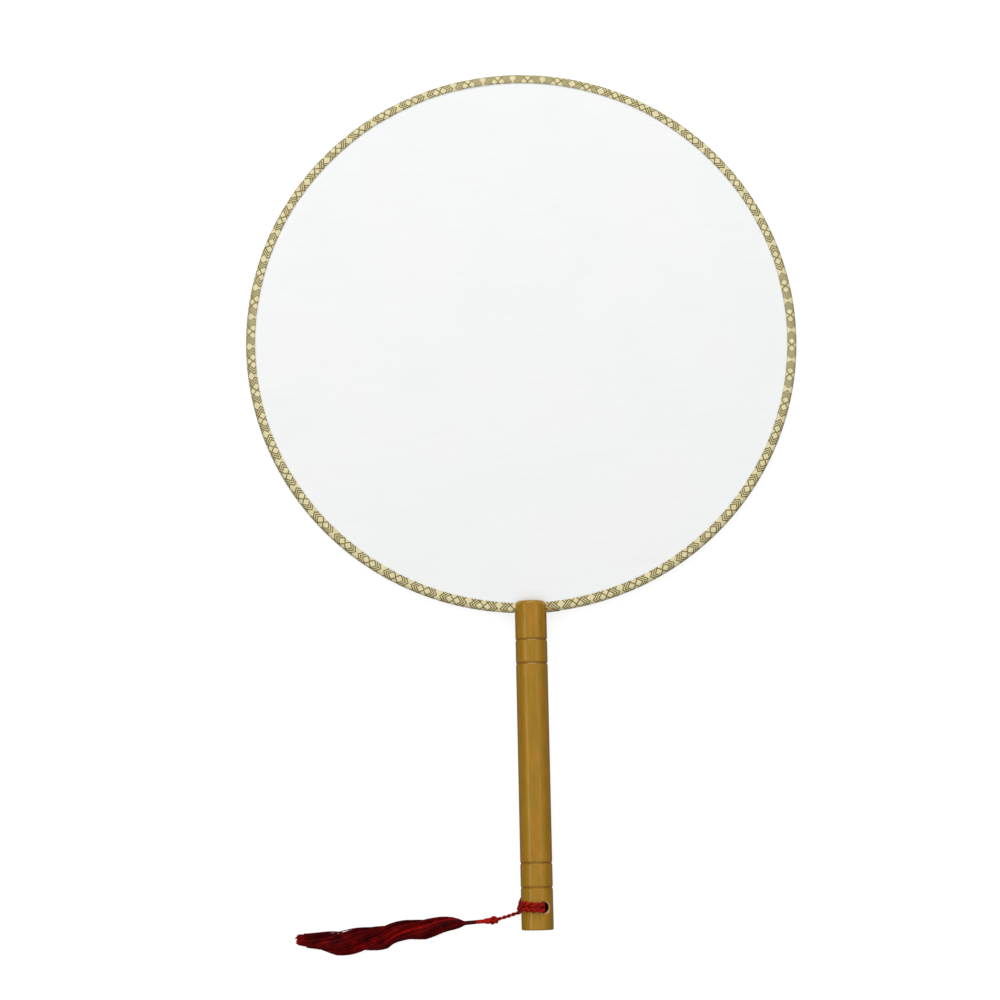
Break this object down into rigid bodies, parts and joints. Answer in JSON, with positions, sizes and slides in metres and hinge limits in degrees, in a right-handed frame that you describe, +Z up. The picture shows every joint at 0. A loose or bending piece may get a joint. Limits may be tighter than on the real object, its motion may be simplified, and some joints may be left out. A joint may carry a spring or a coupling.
{
  "type": "hand fan",
  "caption": "Round hand fan: silk stretched on a wire hoop, bound in brocade tape, on a turned wooden handle with a red cord tassel that swings and lifts.",
  "frame": {"origin": "on the table, under the middle of the fan's overall length and of the disc's width", "axes": "+Y from the handle's butt to the disc's far edge, +Z up from the table through the front face, +X to the right in the picture"},
  "size_m": [0.24, 0.3819, 0.0151],
  "materials": {
    "lacquered_wood": "honey brown, clear lacquer, semi-gloss",
    "spring_wire": "drawn wire",
    "glue": "dried wood glue",
    "silk": "plain white, tightly stretched, opaque",
    "brocade_tape": "pale gold with an olive-gold lattice",
    "red_cord": "twisted, slightly shiny",
    "tassel_yarn": "loose dark red strands, silky"
  },
  "bodies": {
    "fan": {"handle": "lacquered_wood", "wire_hoop": "spring_wire", "bore_glue": "glue", "front_silk": "silk", "back_silk": "silk", "edge_trim": "brocade_tape", "cord_wrap": "red_cord"},
    "cord": {"hanging_cord": "red_cord"},
    "knot": {"cord_knot": "red_cord"},
    "tassel": {"tassel_binding": "tassel_yarn", "tassel_skirt": "tassel_yarn"}
  },
  "joints": [
    {"name": "cord_swing", "type": "hinge", "parent": "fan", "child": "cord", "pos_m": [-0.00711, -0.17968, 0.00105], "axis": [0, 0, 1], "range_deg": [-50, 70]},
    {"name": "tassel_lift", "type": "hinge", "parent": "cord", "child": "knot", "pos_m": [-0.01678, -0.18246, 0.0019], "axis": [-0.0698, 0.9976, 0], "range_deg": [0, 80]},
    {"name": "skirt_swing", "type": "hinge", "parent": "knot", "child": "tassel", "pos_m": [-0.01678, -0.18246, 0.0019], "axis": [0, 0, 1], "range_deg": [-45, 45]}
  ]
}
